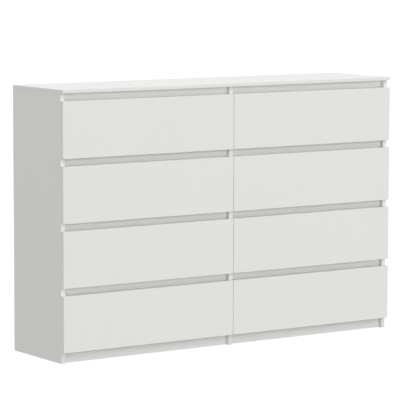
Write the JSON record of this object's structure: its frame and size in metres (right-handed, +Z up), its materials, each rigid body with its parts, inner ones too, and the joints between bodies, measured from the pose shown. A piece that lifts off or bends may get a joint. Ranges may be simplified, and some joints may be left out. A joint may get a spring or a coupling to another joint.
{
  "type": "dresser with drawers",
  "caption": "Low, wide white chest of drawers in two equal columns, with plain full-width fronts that are pulled by the open grip gap above each one.",
  "frame": {"origin": "on the floor, in the middle of the chest's footprint", "axes": "+Z up; +X along the width, to the right of a person who stands in front of the chest; the drawer fronts face -Y and the drawers pull out along -Y"},
  "size_m": [1.4, 0.34, 0.935],
  "materials": {
    "white_board": "white melamine-faced chipboard, satin, fine orange-peel texture, edges banded to match",
    "white_front": "white melamine-faced chipboard, satin, edges banded to match on all four sides",
    "drawer_foil": "folded MDF wrap in white paper foil with a light linen emboss, matt",
    "white_hardboard": "thin hardboard, one face lacquered white",
    "runner_plastic": "moulded light grey polypropylene, waxy"
  },
  "bodies": {
    "carcass": {"top_panel": "white_board", "side_panel_left": "white_board", "side_panel_right": "white_board", "centre_divider": "white_board", "plinth_left": "white_board", "rear_stretcher_left": "white_board", "back_panel_left": "white_hardboard", "grip_rail_left_1": "white_board", "runner_left_1_outer": "runner_plastic", "runner_left_1_inner": "runner_plastic", "grip_rail_left_2": "white_board", "runner_left_2_outer": "runner_plastic", "runner_left_2_inner": "runner_plastic", "grip_rail_left_3": "white_board", "runner_left_3_outer": "runner_plastic", "runner_left_3_inner": "runner_plastic", "grip_rail_left_4": "white_board", "runner_left_4_outer": "runner_plastic", "runner_left_4_inner": "runner_plastic", "plinth_right": "white_board", "rear_stretcher_right": "white_board", "back_panel_right": "white_hardboard", "grip_rail_right_1": "white_board", "runner_right_1_outer": "runner_plastic", "runner_right_1_inner": "runner_plastic", "grip_rail_right_2": "white_board", "runner_right_2_outer": "runner_plastic", "runner_right_2_inner": "runner_plastic", "grip_rail_right_3": "white_board", "runner_right_3_outer": "runner_plastic", "runner_right_3_inner": "runner_plastic", "grip_rail_right_4": "white_board", "runner_right_4_outer": "runner_plastic", "runner_right_4_inner": "runner_plastic"},
    "drawer_left_1": {"drawer_front_left_1": "white_front", "drawer_wrap_left_1": "drawer_foil", "drawer_bottom_left_1": "white_hardboard"},
    "drawer_left_2": {"drawer_front_left_2": "white_front", "drawer_wrap_left_2": "drawer_foil", "drawer_bottom_left_2": "white_hardboard"},
    "drawer_left_3": {"drawer_front_left_3": "white_front", "drawer_wrap_left_3": "drawer_foil", "drawer_bottom_left_3": "white_hardboard"},
    "drawer_left_4": {"drawer_front_left_4": "white_front", "drawer_wrap_left_4": "drawer_foil", "drawer_bottom_left_4": "white_hardboard"},
    "drawer_right_1": {"drawer_front_right_1": "white_front", "drawer_wrap_right_1": "drawer_foil", "drawer_bottom_right_1": "white_hardboard"},
    "drawer_right_2": {"drawer_front_right_2": "white_front", "drawer_wrap_right_2": "drawer_foil", "drawer_bottom_right_2": "white_hardboard"},
    "drawer_right_3": {"drawer_front_right_3": "white_front", "drawer_wrap_right_3": "drawer_foil", "drawer_bottom_right_3": "white_hardboard"},
    "drawer_right_4": {"drawer_front_right_4": "white_front", "drawer_wrap_right_4": "drawer_foil", "drawer_bottom_right_4": "white_hardboard"}
  },
  "joints": [
    {"name": "drawer_left_1_slide", "type": "slide", "parent": "carcass", "child": "drawer_left_1", "axis": [0, -1, 0], "range_m": [0, 0.22]},
    {"name": "drawer_left_2_slide", "type": "slide", "parent": "carcass", "child": "drawer_left_2", "axis": [0, -1, 0], "range_m": [0, 0.22]},
    {"name": "drawer_left_3_slide", "type": "slide", "parent": "carcass", "child": "drawer_left_3", "axis": [0, -1, 0], "range_m": [0, 0.22]},
    {"name": "drawer_left_4_slide", "type": "slide", "parent": "carcass", "child": "drawer_left_4", "axis": [0, -1, 0], "range_m": [0, 0.22]},
    {"name": "drawer_right_1_slide", "type": "slide", "parent": "carcass", "child": "drawer_right_1", "axis": [0, -1, 0], "range_m": [0, 0.22]},
    {"name": "drawer_right_2_slide", "type": "slide", "parent": "carcass", "child": "drawer_right_2", "axis": [0, -1, 0], "range_m": [0, 0.22]},
    {"name": "drawer_right_3_slide", "type": "slide", "parent": "carcass", "child": "drawer_right_3", "axis": [0, -1, 0], "range_m": [0, 0.22]},
    {"name": "drawer_right_4_slide", "type": "slide", "parent": "carcass", "child": "drawer_right_4", "axis": [0, -1, 0], "range_m": [0, 0.22]}
  ]
}
